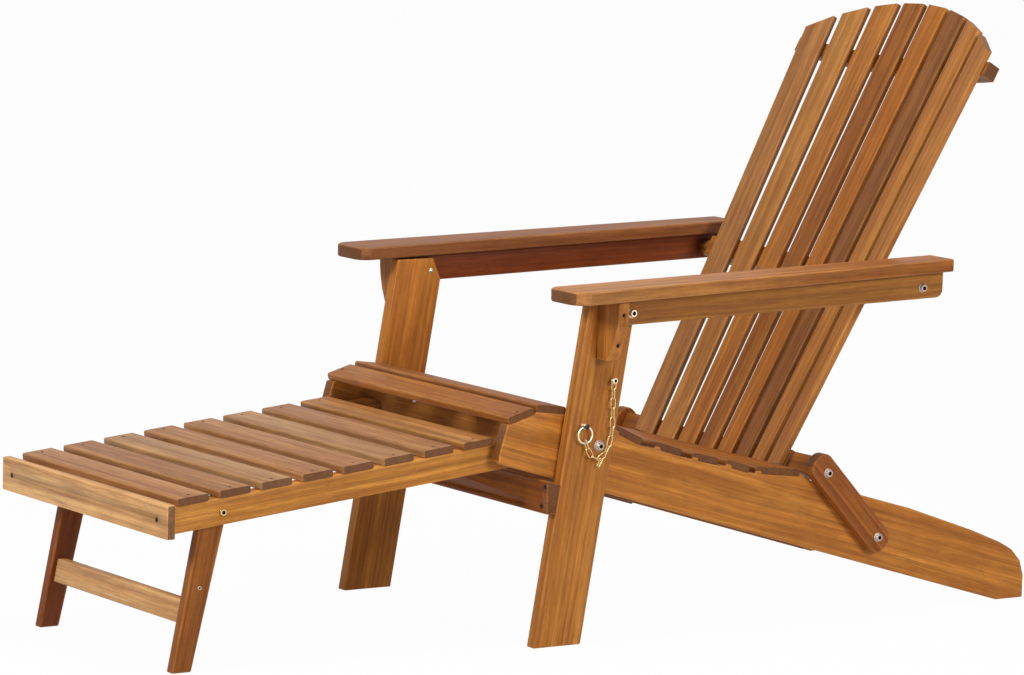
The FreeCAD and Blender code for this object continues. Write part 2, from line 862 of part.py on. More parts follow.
def save_legs():
    save_pair("front_leg", front_leg())
    save("front_leg_crossbar", front_bar())
    save_pair("arm_bracket", bracket())
    bolt = headed_bolt(pivot_a, large_head_radius, rail_inner, leg_outer, leg_outer)
    save("front_leg_pivot_bolts", both_sides(bolt))
    side_screws = bracket_screw_heads() + [chain_eye()]
    screws = side_screws + [other_side(screw) for screw in side_screws] + bar_screws()
    save("front_leg_screws", Part.makeCompound(screws))
    save_pair("pin_chain", chain())
    save_pair("lock_pin", lock_pin())


def save_arms():
    save_pair("arm_board", arm_board())
    save_pair("arm_rail", arm_rail())
    bolt = headed_bolt(pivot_b, small_head_radius, leg_inner, arm_rail_outer, arm_rail_outer)
    save("arm_front_bolts", both_sides(bolt))
    save("back_pivot_bosses", both_sides(back_boss()))


def save_back():
    slats = back_slats()
    for number, slat in enumerate(slats, 1):
        save("back_slat_%d" % number, slat)
    middle = (Vec(0, *pivot_c) - Vec(0, *pivot_d)).Length
    half = crossrail_height / 2
    lower = crossrail(back_end, rail_hollow(half), -lower_rail_drop, half, straight_rear, slats)
    hole = rod(pivot_d, bolt_bore, back_end - link_bolt_depth, back_end)
    lower = lower.cut(hole).cut(other_side(hole))
    save("back_lower_crossrail", lower)
    save("back_middle_crossrail",
         crossrail(back_end, rail_hollow(middle + half), middle - half, middle + half,
                   straight_rear, slats))
    top_half = top_rail_height / 2
    save("back_top_crossrail",
         crossrail(top_rail_end, top_rail_end, top_rail_place - top_half,
                   top_rail_place + top_half, curved_rear, slats))


def save_links():
    save_pair("back_link", back_link())
    start = back_end - link_bolt_depth
    bolt = headed_bolt(pivot_d, small_head_radius, start, link_outer, link_outer)
    save("link_top_bolts", both_sides(bolt))


def save_ottoman():
    save("ottoman_guide_dowel", rod(dowel_place(), dowel_radius, -dowel_half, dowel_half))
    save_pair("ottoman_rail", ottoman_rail())
    save("ottoman_front_board", front_board())
    for index in range(ottoman_slat_count):
        save("ottoman_slat_%d" % (index + 1), ottoman_slat(index))
    save("ottoman_hardware", ottoman_hardware())
    save_pair("ottoman_leg", ottoman_leg())
    save("ottoman_leg_crossbar", ottoman_bar())


os.makedirs("parts", exist_ok=True)
save_seat()
save_legs()
save_arms()
save_back()
save_links()
save_ottoman()
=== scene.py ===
import bpy
import bmesh
import json
import math
import random
from mathutils import Matrix, Vector

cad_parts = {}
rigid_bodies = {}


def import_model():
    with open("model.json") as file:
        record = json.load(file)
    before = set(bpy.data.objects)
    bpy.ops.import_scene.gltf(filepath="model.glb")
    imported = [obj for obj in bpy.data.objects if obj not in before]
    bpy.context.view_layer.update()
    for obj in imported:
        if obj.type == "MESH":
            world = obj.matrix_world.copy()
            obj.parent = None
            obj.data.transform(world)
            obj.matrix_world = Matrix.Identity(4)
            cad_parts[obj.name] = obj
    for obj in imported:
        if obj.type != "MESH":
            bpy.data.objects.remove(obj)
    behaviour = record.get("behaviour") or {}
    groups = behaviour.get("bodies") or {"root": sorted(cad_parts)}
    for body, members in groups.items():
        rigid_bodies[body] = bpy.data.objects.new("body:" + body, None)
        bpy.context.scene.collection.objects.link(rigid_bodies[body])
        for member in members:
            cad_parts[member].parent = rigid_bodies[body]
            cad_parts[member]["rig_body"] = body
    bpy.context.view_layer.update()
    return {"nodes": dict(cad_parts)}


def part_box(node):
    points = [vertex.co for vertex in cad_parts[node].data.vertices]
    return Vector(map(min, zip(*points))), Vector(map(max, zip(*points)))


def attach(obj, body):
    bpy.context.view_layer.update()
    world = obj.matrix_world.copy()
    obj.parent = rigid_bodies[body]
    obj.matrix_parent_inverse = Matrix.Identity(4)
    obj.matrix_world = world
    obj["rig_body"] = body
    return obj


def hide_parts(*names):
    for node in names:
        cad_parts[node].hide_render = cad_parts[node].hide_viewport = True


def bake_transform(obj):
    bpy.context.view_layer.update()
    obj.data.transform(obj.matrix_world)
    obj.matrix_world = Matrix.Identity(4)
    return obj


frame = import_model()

nodes = frame["nodes"]
scene = bpy.context.scene


# ---------- small helpers for node trees
def linkUp(tree, source, target):
    tree.links.new(source, target)


class Num:
    # a number field in a node tree, so that a rule reads as plain sums
    def __init__(self, tree, socket):
        self.tree, self.socket = tree, socket

    def combine(self, other, operation, swap=False):
        node = self.tree.nodes.new("ShaderNodeMath")
        node.operation = operation
        pair = (other, self) if swap else (self, other)
        for index, value in enumerate(pair):
            if isinstance(value, Num):
                linkUp(self.tree, value.socket, node.inputs[index])
            elif value is not None:
                node.inputs[index].default_value = value
        return Num(self.tree, node.outputs[0])

    def __add__(self, other): return self.combine(other, "ADD")
    def __radd__(self, other): return self.combine(other, "ADD")
    def __sub__(self, other): return self.combine(other, "SUBTRACT")
    def __rsub__(self, other): return self.combine(other, "SUBTRACT", True)
    def __mul__(self, other): return self.combine(other, "MULTIPLY")
    def __rmul__(self, other): return self.combine(other, "MULTIPLY")
    def __truediv__(self, other): return self.combine(other, "DIVIDE")
    def root(self): return self.combine(None, "SQRT")


def newTree(name, sizes):
    # geometry tree with one float input per size
    tree = bpy.data.node_groups.new(name, "GeometryNodeTree")
    tree.interface.new_socket("Geometry", in_out="INPUT", socket_type="NodeSocketGeometry")
    tree.interface.new_socket("Geometry", in_out="OUTPUT", socket_type="NodeSocketGeometry")
    for key, value in sizes.items():
        kind = "NodeSocketInt" if isinstance(value, int) else "NodeSocketFloat"
        socket = tree.interface.new_socket(key, in_out="INPUT", socket_type=kind)
        socket.default_value = value
    entry = tree.nodes.new("NodeGroupInput")
    leave = tree.nodes.new("NodeGroupOutput")
    return tree, entry, leave


def add(tree, kind, **settings):
    node = tree.nodes.new(kind)
    for key, value in settings.items():
        setattr(node, key, value)
    return node


def feed(tree, node, **sockets):
    # sets or links a node's inputs by name, with underscores for spaces
    for key, value in sockets.items():
        target = node.inputs[key.replace("_", " ")]
        if hasattr(value, "links"):
            linkUp(tree, value, target)
        elif isinstance(value, Num):
            linkUp(tree, value.socket, target)
        else:
            target.default_value = value
    return node


def runTree(name, tree, sizes, source=None):
    # a plain mesh object made by a geometry tree, with no modifier left on it
    mesh = source or bpy.data.meshes.new(name + "Seed")
    carrier = bpy.data.objects.new(name + "Carrier", mesh)
    scene.collection.objects.link(carrier)
    modifier = carrier.modifiers.new("make", "NODES")
    modifier.node_group = tree
    for item in tree.interface.items_tree:
        if item.in_out == "INPUT" and item.name in sizes:
            modifier[item.identifier] = sizes[item.name]
    bpy.context.view_layer.update()
    graph = bpy.context.evaluated_depsgraph_get()
    made = bpy.data.meshes.new_from_object(carrier.evaluated_get(graph))
    bpy.data.objects.remove(carrier)
    made.name = name
    if made.materials and made.materials[0] is None:
        made.materials.pop(index=0)
        for polygon in made.polygons:
            polygon.material_index = 0
    piece = bpy.data.objects.new(name, made)
    scene.collection.objects.link(piece)
    return piece


def finishTree(tree, leave, geometry, material):
    realize = add(tree, "GeometryNodeRealizeInstances")
    paint = add(tree, "GeometryNodeSetMaterial")
    linkUp(tree, geometry, realize.inputs[0])
    linkUp(tree, realize.outputs[0], paint.inputs["Geometry"])
    paint.inputs["Material"].default_value = material
    linkUp(tree, paint.outputs[0], leave.inputs[0])


# ---------- camera, floor and light
cameraSettings = {
    "azimuth": 55.586,
    "elevation": 7.578,
    "roll": 1.748,
    "place": (6.8236, -4.7154, 1.5474),
    "lens": 182.6,
}


def makeCamera(s):
    turn, rise, roll = (math.radians(s[key]) for key in ("azimuth", "elevation", "roll"))
    right = Vector((math.cos(turn), math.sin(turn), 0))
    back = Vector((math.sin(turn) * math.cos(rise), -math.cos(turn) * math.cos(rise),
                   math.sin(rise)))
    up = back.cross(right)
    across = right * math.cos(roll) + up * math.sin(roll)
    above = up * math.cos(roll) - right * math.sin(roll)
    data = bpy.data.cameras.new("photoCamera")
    data.lens = s["lens"]
    data.sensor_width = 36
    data.clip_end = 60
    camera = bpy.data.objects.new("photoCamera", data)
    matrix = Matrix((across, above, back)).transposed().to_4x4()
    matrix.translation = Vector(s["place"])
    camera.matrix_world = matrix
    scene.collection.objects.link(camera)
    scene.camera = camera


lightSettings = {
    "worldStrength": 0.22,
    "keyEnergy": 122, "keySize": 1.3, "keyPlace": (0.4, -4.4, 2.7),
    "topEnergy": 60, "topSize": 1.8, "topPlace": (0.5, 0.2, 3.6),
    "fillEnergy": 142, "fillSize": 1.8, "fillPlace": (5.2, 0.6, 2.2),
    "aim": (0, 0, 0.4),
}


def makeLamp(name, place, size, energy, aim):
    data = bpy.data.lights.new(name, "AREA")
    data.shape = "DISK"
    data.size = size
    data.energy = energy
    lamp = bpy.data.objects.new(name, data)
    lamp.location = place
    lamp.rotation_euler = (Vector(aim) - Vector(place)).to_track_quat("-Z", "Y").to_euler()
    scene.collection.objects.link(lamp)


def seenRays(tree, share):
    # share of plain white for what the camera, gloss and glass see of the ground
    path = add(tree, "ShaderNodeLightPath")
    total = None
    for ray in ("Is Camera Ray", "Is Glossy Ray", "Is Transmission Ray"):
        if total is None:
            total = path.outputs[ray]
            continue
        most = add(tree, "ShaderNodeMath", operation="MAXIMUM")
        linkUp(tree, total, most.inputs[0])
        linkUp(tree, path.outputs[ray], most.inputs[1])
        total = most.outputs[0]
    part = add(tree, "ShaderNodeMath", operation="MULTIPLY")
    linkUp(tree, total, part.inputs[0])
    part.inputs[1].default_value = share
    return part.outputs[0]


def makeWorld(s):
    world = bpy.data.worlds.new("studio")
    scene.world = world
    world.use_nodes = True
    tree = world.node_tree
    tree.nodes.clear()
    light = add(tree, "ShaderNodeBackground")
    light.inputs["Color"].default_value = (1, 1, 1, 1)
    light.inputs["Strength"].default_value = s["worldStrength"]
    out = add(tree, "ShaderNodeOutputWorld")
    plain = add(tree, "ShaderNodeBackground")
    plain.inputs["Color"].default_value = (1, 1, 1, 1)
    mix = add(tree, "ShaderNodeMixShader")
    linkUp(tree, seenRays(tree, 1.0), mix.inputs[0])
    linkUp(tree, light.outputs[0], mix.inputs[1])
    linkUp(tree, plain.outputs[0], mix.inputs[2])
    linkUp(tree, mix.outputs[0], out.inputs[0])


def makeFloor():
    mesh = bpy.data.meshes.new("floor")
    half = 14
    mesh.from_pydata([(-half, -half, 0), (half, -half, 0), (half, half, 0), (-half, half, 0)],
                     [], [(0, 1, 2, 3)])
    floor = bpy.data.objects.new("floor", mesh)
    scene.collection.objects.link(floor)
    paint = bpy.data.materials.new("paleFloor")
    paint.use_nodes = True
    tree = paint.node_tree
    tree.nodes.clear()
    out = add(tree, "ShaderNodeOutputMaterial")
    matte = add(tree, "ShaderNodeBsdfDiffuse")
    matte.inputs["Color"].default_value = (0.72, 0.72, 0.72, 1)
    plain = add(tree, "ShaderNodeEmission")
    mix = add(tree, "ShaderNodeMixShader")
    linkUp(tree, seenRays(tree, 0.97), mix.inputs[0])
    linkUp(tree, matte.outputs[0], mix.inputs[1])
    linkUp(tree, plain.outputs[0], mix.inputs[2])
    linkUp(tree, mix.outputs[0], out.inputs[0])
    mesh.materials.append(paint)
    return floor


scene.view_settings.view_transform = "Standard"
makeCamera(cameraSettings)
makeWorld(lightSettings)
for lampName in ("key", "top", "fill"):
    makeLamp(lampName + "Lamp", lightSettings[lampName + "Place"], lightSettings[lampName + "Size"],
             lightSettings[lampName + "Energy"], lightSettings["aim"])
makeFloor()
print("studio ready")


# ---------- wood
woodSettings = {
    "light": (0.60, 0.255, 0.052, 1),
    "mid": (0.36, 0.124, 0.021, 1),
    "dark": (0.095, 0.026, 0.006, 1),
    "endGrain": (0.135, 0.058, 0.024, 1),
    "bandScale": 26.0,
    "bandWarp": 5.5,
    "fibreScale": 520.0,
    "roughness": 0.46,
    "bump": 0.22,
}


def mixColour(tree, factor, first, second, kind="MIX"):
    node = add(tree, "ShaderNodeMix", data_type="RGBA", blend_type=kind)
    node.clamp_result = kind != "MIX"
    for target, value in ((node.inputs[0], factor), (node.inputs[6], first),
                          (node.inputs[7], second)):
        if hasattr(value, "links"):
            linkUp(tree, value, target)
        else:
            target.default_value = value
    return node.outputs[2]


def stretched(tree, source, scale):
    node = add(tree, "ShaderNodeMapping")
    linkUp(tree, source, node.inputs["Vector"])
    node.inputs["Scale"].default_value = scale
    return node.outputs[0]


def noise(tree, vector, scale, detail=4.0, rough=0.55, distortion=0.0):
    node = add(tree, "ShaderNodeTexNoise")
    linkUp(tree, vector, node.inputs["Vector"])
    node.inputs["Scale"].default_value = scale
    node.inputs["Detail"].default_value = detail
    node.inputs["Roughness"].default_value = rough
    node.inputs["Distortion"].default_value = distortion
    return node.outputs[0]


def ramp(tree, source, stops):
    node = add(tree, "ShaderNodeValToRGB")
    linkUp(tree, source, node.inputs[0])
    band = node.color_ramp
    while len(band.elements) < len(stops):
        band.elements.new(0.5)
    for element, (place, colour) in zip(band.elements, stops):
        element.position = place
        element.color = colour if len(colour) == 4 else (*colour, 1)
    return node.outputs[0]


def grey(value):
    return (value, value, value, 1)


def makeWood(name, s):
    material = bpy.data.materials.new(name)
    material.use_nodes = True
    tree = material.node_tree
    shader = tree.nodes["Principled BSDF"]
    place = add(tree, "ShaderNodeAttribute", attribute_name="grainPlace").outputs["Vector"]
    tint = add(tree, "ShaderNodeAttribute", attribute_name="boardTint").outputs["Color"]
    edge = add(tree, "ShaderNodeAttribute", attribute_name="easedEdge").outputs["Fac"]
    end = add(tree, "ShaderNodeAttribute", attribute_name="endFace").outputs["Fac"]
    # growth bands: a wave across the board, warped slowly along it
    waveAt = stretched(tree, place, (0.55, 1.0, 1.0))
    wave = add(tree, "ShaderNodeTexWave", wave_type="BANDS", bands_direction="Y",
               wave_profile="SAW")
    linkUp(tree, waveAt, wave.inputs["Vector"])
    wave.inputs["Scale"].default_value = s["bandScale"]
    wave.inputs["Distortion"].default_value = s["bandWarp"]
    wave.inputs["Detail"].default_value = 2.5
    wave.inputs["Detail Scale"].default_value = 0.42
    wave.inputs["Detail Roughness"].default_value = 0.45
    bands = ramp(tree, wave.outputs["Fac"], [(0.0, grey(0.15)), (0.55, grey(0.45)),
                                             (0.86, grey(0.85)), (1.0, grey(0.2))])
    streaks = noise(tree, stretched(tree, place, (3.0, 75.0, 75.0)), 1.0, 5.0, 0.6, 0.3)
    broad = noise(tree, stretched(tree, place, (1.6, 11.0, 11.0)), 1.0, 3.0, 0.5, 0.8)
    fibre = noise(tree, stretched(tree, place, (14.0, s["fibreScale"], s["fibreScale"])), 1.0,
                  3.0, 0.65)
    pores = noise(tree, stretched(tree, place, (60.0, 1500.0, 1500.0)), 1.0, 2.0, 0.5)
    stripes = noise(tree, stretched(tree, place, (0.9, 95.0, 95.0)), 1.0, 2.0, 0.5, 0.5)
    mottle = noise(tree, stretched(tree, place, (16.0, 40.0, 40.0)), 1.0, 4.0, 0.6, 0.6)
    streakRamp = ramp(tree, streaks, [(0.34, grey(0.0)), (0.66, grey(1.0))])
    base = mixColour(tree, streakRamp, s["mid"], s["light"])
    base = mixColour(tree, ramp(tree, broad, [(0.36, grey(0.55)), (0.66, grey(0.0))]), base,
                     s["mid"])
    base = mixColour(tree, ramp(tree, stripes, [(0.38, grey(0.30)), (0.54, grey(0.0))]), base,
                     s["dark"])
    base = mixColour(tree, ramp(tree, mottle, [(0.36, grey(0.20)), (0.60, grey(0.0))]), base,
                     s["dark"])
    dark = mixColour(tree, 1.0, bands, ramp(tree, streaks, [(0.25, grey(1.0)), (0.75, grey(0.35))]),
                     "MULTIPLY")
    darkMask = add(tree, "ShaderNodeMath", operation="MULTIPLY")
    linkUp(tree, dark, darkMask.inputs[0])
    darkMask.inputs[1].default_value = 0.40
    base = mixColour(tree, darkMask.outputs[0], base, s["dark"])
    base = mixColour(tree, ramp(tree, fibre, [(0.32, grey(0.30)), (0.60, grey(0.0))]), base,
                     s["dark"])
    base = mixColour(tree, ramp(tree, pores, [(0.30, grey(0.45)), (0.40, grey(0.0))]), base,
                     s["dark"])
    base = mixColour(tree, 1.0, base, tint, "MULTIPLY")
    # eased edges are paler, partly wear and partly a painted highlight; end grain is a grey brown
    # with fine rings
    wearAndHighlightNoise = noise(tree, stretched(tree, place, (30.0, 120.0, 120.0)), 1.0, 3.0, 0.6)
    edgeMask = add(tree, "ShaderNodeMath", operation="MULTIPLY")
    linkUp(tree, edge, edgeMask.inputs[0])
    linkUp(tree, ramp(tree, wearAndHighlightNoise, [(0.35, grey(0.1)), (0.62, grey(0.5))]), edgeMask.inputs[1])
    paleWearAndHighlight = mixColour(tree, 1.0, base, (0.16, 0.09, 0.035, 1), "ADD")
    base = mixColour(tree, edgeMask.outputs[0], base, paleWearAndHighlight)
    endSpots = noise(tree, stretched(tree, place, (120.0, 420.0, 420.0)), 1.0, 4.0, 0.65, 0.4)
    endColour = mixColour(tree, ramp(tree, endSpots, [(0.36, grey(0.0)), (0.64, grey(1.0))]),
                          s["dark"], s["endGrain"])
    endMix = add(tree, "ShaderNodeMath", operation="MULTIPLY")
    linkUp(tree, end, endMix.inputs[0])
    endMix.inputs[1].default_value = 0.78
    base = mixColour(tree, endMix.outputs[0], base, endColour)
    linkUp(tree, base, shader.inputs["Base Color"])
    rough = ramp(tree, fibre, [(0.3, grey(s["roughness"] + 0.12)), (0.7, grey(s["roughness"]))])
    linkUp(tree, rough, shader.inputs["Roughness"])
    shader.inputs["Specular IOR Level"].default_value = 0.20
    bump = add(tree, "ShaderNodeBump")
    bump.inputs["Strength"].default_value = s["bump"]
    bump.inputs["Distance"].default_value = 0.0006
    relief = add(tree, "ShaderNodeMath", operation="ADD")
    linkUp(tree, fibre, relief.inputs[0])
    linkUp(tree, wave.outputs["Fac"], relief.inputs[1])
    linkUp(tree, relief.outputs[0], bump.inputs["Height"])
    linkUp(tree, bump.outputs[0], shader.inputs["Normal"])
    return material


oiledWood = makeWood("oiledHardwood", woodSettings)

# tints over the wood's own colours: one per board, warm to dark; some also hold painted light: the
# near arm's front, the ottoman front board, its crossbar and the ottoman slats' grey and dun tints
# hold a painted sheen, the far arm, far arm rail and far ottoman foot tints hold painted shade, and
# the far leg tint holds a painted light
tints = {
    "plain": (1.20, 1.14, 0.96), "gold": (1.20, 1.16, 0.94), "railGold": (1.32, 1.26, 1.00),
    "rim": (1.44, 1.50, 1.24), "armSheen": (1.12, 1.24, 1.60), "armRear": (0.86, 0.70, 0.52),
    "farArmShade": (0.66, 0.60, 0.84), "farRailShade": (0.56, 0.30, 0.22), "nearRail": (0.94, 0.96, 0.88),
    "farLegLit": (1.46, 1.42, 1.08), "link": (0.86, 0.66, 0.52), "dark": (0.62, 0.56, 0.62),
    "brown": (0.75, 0.66, 0.54), "rose": (0.90, 1.00, 1.50), "tan": (1.00, 1.09, 1.32),
    "amber": (1.00, 0.95, 0.88), "orange": (1.00, 0.87, 0.57), "olive": (0.64, 0.58, 0.50),
    "honey": (1.10, 1.10, 1.02), "russet": (0.80, 0.68, 0.46), "sheenPale": (1.70, 2.42, 5.00),
    "grey": (1.06, 1.44, 2.90), "sheenDun": (0.97, 1.12, 1.96), "legWood": (0.79, 0.65, 0.40),
    "farFootShade": (0.58, 0.36, 0.20), "umber": (0.50, 0.42, 0.42), "bar": (0.74, 0.56, 0.28),
}


# the length over which the near arm goes from its front tint, which holds a painted sheen, to its
# rear tint
fadeLength = 0.60
fades = {"arm_board_left": "armRear"}


def sharpChains(mesh, limit):
    # groups of joined sharp edges, so that the rims of small holes can be left alone
    sharp = [e for e in mesh.edges if len(e.link_faces) == 2
             and e.calc_face_angle(0) > limit]
    left, chains = set(sharp), []
    while left:
        stack, chain = [left.pop()], []
        while stack:
            edge = stack.pop()
            chain.append(edge)
            for vertex in edge.verts:
                for other in vertex.link_edges:
                    if other in left:
                        left.remove(other)
                        stack.append(other)
        chains.append(chain)
    return chains


def paintBoard(mesh, faces, along, flat, tint, seed, centre, tintEnd=None):
    # grain coordinates, tint, and marks for eased edges and end grain, for some of the faces
    along, flat = Vector(along).normalized(), Vector(flat).normalized()
    across = flat.cross(along).normalized()
    flat = along.cross(across)
    shuffle = random.Random(seed)
    offset = Vector((shuffle.uniform(-9, 9), shuffle.uniform(-9, 9), shuffle.uniform(-9, 9)))
    grain, tone, eased, cut = (mesh.attributes[key].data for key in
                               ("grainPlace", "boardTint", "easedEdge", "endFace"))
    for face in faces:
        normal = face.normal
        onEnd = abs(normal.dot(along))
        square = max(onEnd, abs(normal.dot(across)), abs(normal.dot(flat)))
        eased[face.index].value = 1.0 if square < 0.985 and face.area < 0.004 else 0.0
        cut[face.index].value = 1.0 if onEnd > 0.8 else 0.0
        for corner in face.loop_indices:
            local = mesh.vertices[mesh.loops[corner].vertex_index].co - centre
            grain[corner].vector = Vector((local.dot(along), local.dot(across),
                                           local.dot(flat))) + offset
            if tintEnd:
                far = min(1, max(0, 0.5 + local.dot(along) / fadeLength))
                tone[corner].color = (*(a + (b - a) * far for a, b in zip(tint, tintEnd)), 1)
            else:
                tone[corner].color = (*tint, 1)


def splitLong(mesh, along, centre, parts):
    # cuts across a long board, so that its tint can change along it
    work = bmesh.new()
    work.from_mesh(mesh)
    along = Vector(along).normalized()
    for number in range(1, parts):
        place = centre + along * fadeLength * (number / parts - 0.5)
        bmesh.ops.bisect_plane(work, geom=[*work.verts, *work.edges, *work.faces],
                               plane_co=place, plane_no=along)
    work.to_mesh(mesh)
    work.free()


def addGrainLayers(mesh):
    for name, kind, domain in (("grainPlace", "FLOAT_VECTOR", "CORNER"),
                               ("boardTint", "FLOAT_COLOR", "CORNER"),
                               ("easedEdge", "FLOAT", "FACE"), ("endFace", "FLOAT", "FACE")):
        if name not in mesh.attributes:
            mesh.attributes.new(name, kind, domain)


boardSettings = {
    "easing": 0.0026,
    "shortestRim": 0.06,
    "sharpAngle": 32,
    "merge": 0.00002,
}


def dressBoard(node, along, flat, tint, seed, easing=None):
    # a clean copy of a board with eased edges, which stands for the board of the frame
    s = boardSettings
    mesh = nodes[node].data.copy()
    work = bmesh.new()
    work.from_mesh(mesh)
    bmesh.ops.remove_doubles(work, verts=work.verts, dist=s["merge"])
    bmesh.ops.dissolve_limit(work, angle_limit=math.radians(0.6), verts=work.verts,
                             edges=work.edges)
    chosen = []
    for chain in sharpChains(work, math.radians(s["sharpAngle"])):
        if sum(edge.calc_length() for edge in chain) > s["shortestRim"]:
            chosen += chain
    bmesh.ops.bevel(work, geom=chosen, offset=easing or s["easing"], segments=3, profile=0.5,
                    affect="EDGES", clamp_overlap=True)
    bmesh.ops.triangulate(work, faces=[f for f in work.faces if len(f.verts) > 4])
    work.to_mesh(mesh)
    work.free()
    low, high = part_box(node)
    middle = (low + high) / 2
    if node in fades:
        splitLong(mesh, along, middle, 8)
    mesh.name = node + "Board"
    mesh.materials.clear()
    mesh.materials.append(oiledWood)
    piece = bpy.data.objects.new(node + ".wood", mesh)
    scene.collection.objects.link(piece)
    addGrainLayers(mesh)
    paintBoard(mesh, mesh.polygons, along, flat, tints[tint], seed, middle,
               tints[fades[node]] if node in fades else None)
    for polygon in mesh.polygons:
        polygon.use_smooth = True
    mesh.set_sharp_from_angle(angle=math.radians(28))
    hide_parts(node)
    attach(piece, nodes[node]["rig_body"])
    return piece


def sloped(angle):
    turn = math.radians(angle)
    return (0, math.cos(turn), math.sin(turn))


def backUp():
    turn = math.radians(29.3)
    return (0, math.sin(turn), math.cos(turn))


sideways, plumb, rearward = (1, 0, 0), (0, 0, 1), (0, 1, 0)
boards = {
    "side_rail_left": (sloped(-16.15), sideways, "railGold"),
    "side_rail_right": (sloped(-16.15), sideways, "plain"),
    # the guide cleats take the dark tint as painted shade under the side rails
    "ottoman_guide_cleat_left": (sloped(-16.15), sideways, "dark"),
    "ottoman_guide_cleat_right": (sloped(-16.15), sideways, "dark"),
    "front_leg_left": (sloped(80.86), sideways, "gold"),
    # the far leg's bright tint is painted light on its inner face
    "front_leg_right": (sloped(80.86), sideways, "farLegLit"),
    "front_leg_crossbar": (sideways, rearward, "bar"),
    "arm_bracket_left": (plumb, rearward, "gold"),
    "arm_bracket_right": (plumb, rearward, "plain"),
    # the near arm's front tint holds a painted sheen that fades toward its rear
    "arm_board_left": (sloped(1.46), plumb, "armSheen"),
    # the far arm's darker tint is a painted shade
    "arm_board_right": (sloped(1.46), plumb, "farArmShade"),
    "arm_rail_left": (sloped(1.46), sideways, "nearRail"),
    # the far arm rail's dark tint is painted shade under the arm board
    "arm_rail_right": (sloped(1.46), sideways, "farRailShade"),
    "back_link_left": (sloped(-46.4), sideways, "link"),
    "back_link_right": (sloped(-46.4), sideways, "link"),
    "back_lower_crossrail": (sideways, backUp(), "brown"),
    "back_middle_crossrail": (sideways, backUp(), "plain"),
    "back_top_crossrail": (sideways, backUp(), "brown"),
    "ottoman_rail_left": (sloped(5.93), sideways, "rim"),
    "ottoman_rail_right": (sloped(5.93), sideways, "brown"),
    # the ottoman front board takes a tint with a painted sheen
    "ottoman_front_board": (sideways, rearward, "sheenPale"),
    "ottoman_leg_left": (sloped(78), sideways, "legWood"),
    # the far ottoman foot's dark tint is painted shade
    "ottoman_leg_right": (sloped(78), sideways, "farFootShade"),
    # a tint with a painted sheen, as on the front board
    "ottoman_leg_crossbar": (sideways, rearward, "sheenPale"),
}
for boardSeed, (boardName, (boardAlong, boardFlat, boardTone)) in enumerate(boards.items()):
    dressBoard(boardName, boardAlong, boardFlat, boardTone, boardSeed)
print("boards dressed:", len(boards))


# ---------- slats
def boardProfile(tree, width, thickness, radius):
    # rounded rectangle across a slat
    shape = add(tree, "GeometryNodeCurvePrimitiveQuadrilateral")
    feed(tree, shape, Width=width, Height=thickness)
    fillet = add(tree, "GeometryNodeFilletCurve")
    fillet.mode = "POLY"
    linkUp(tree, shape.outputs[0], fillet.inputs["Curve"])
    feed(tree, fillet, Radius=radius, Count=4)
    fillet.inputs["Limit Radius"].default_value = True
    return fillet.outputs[0]


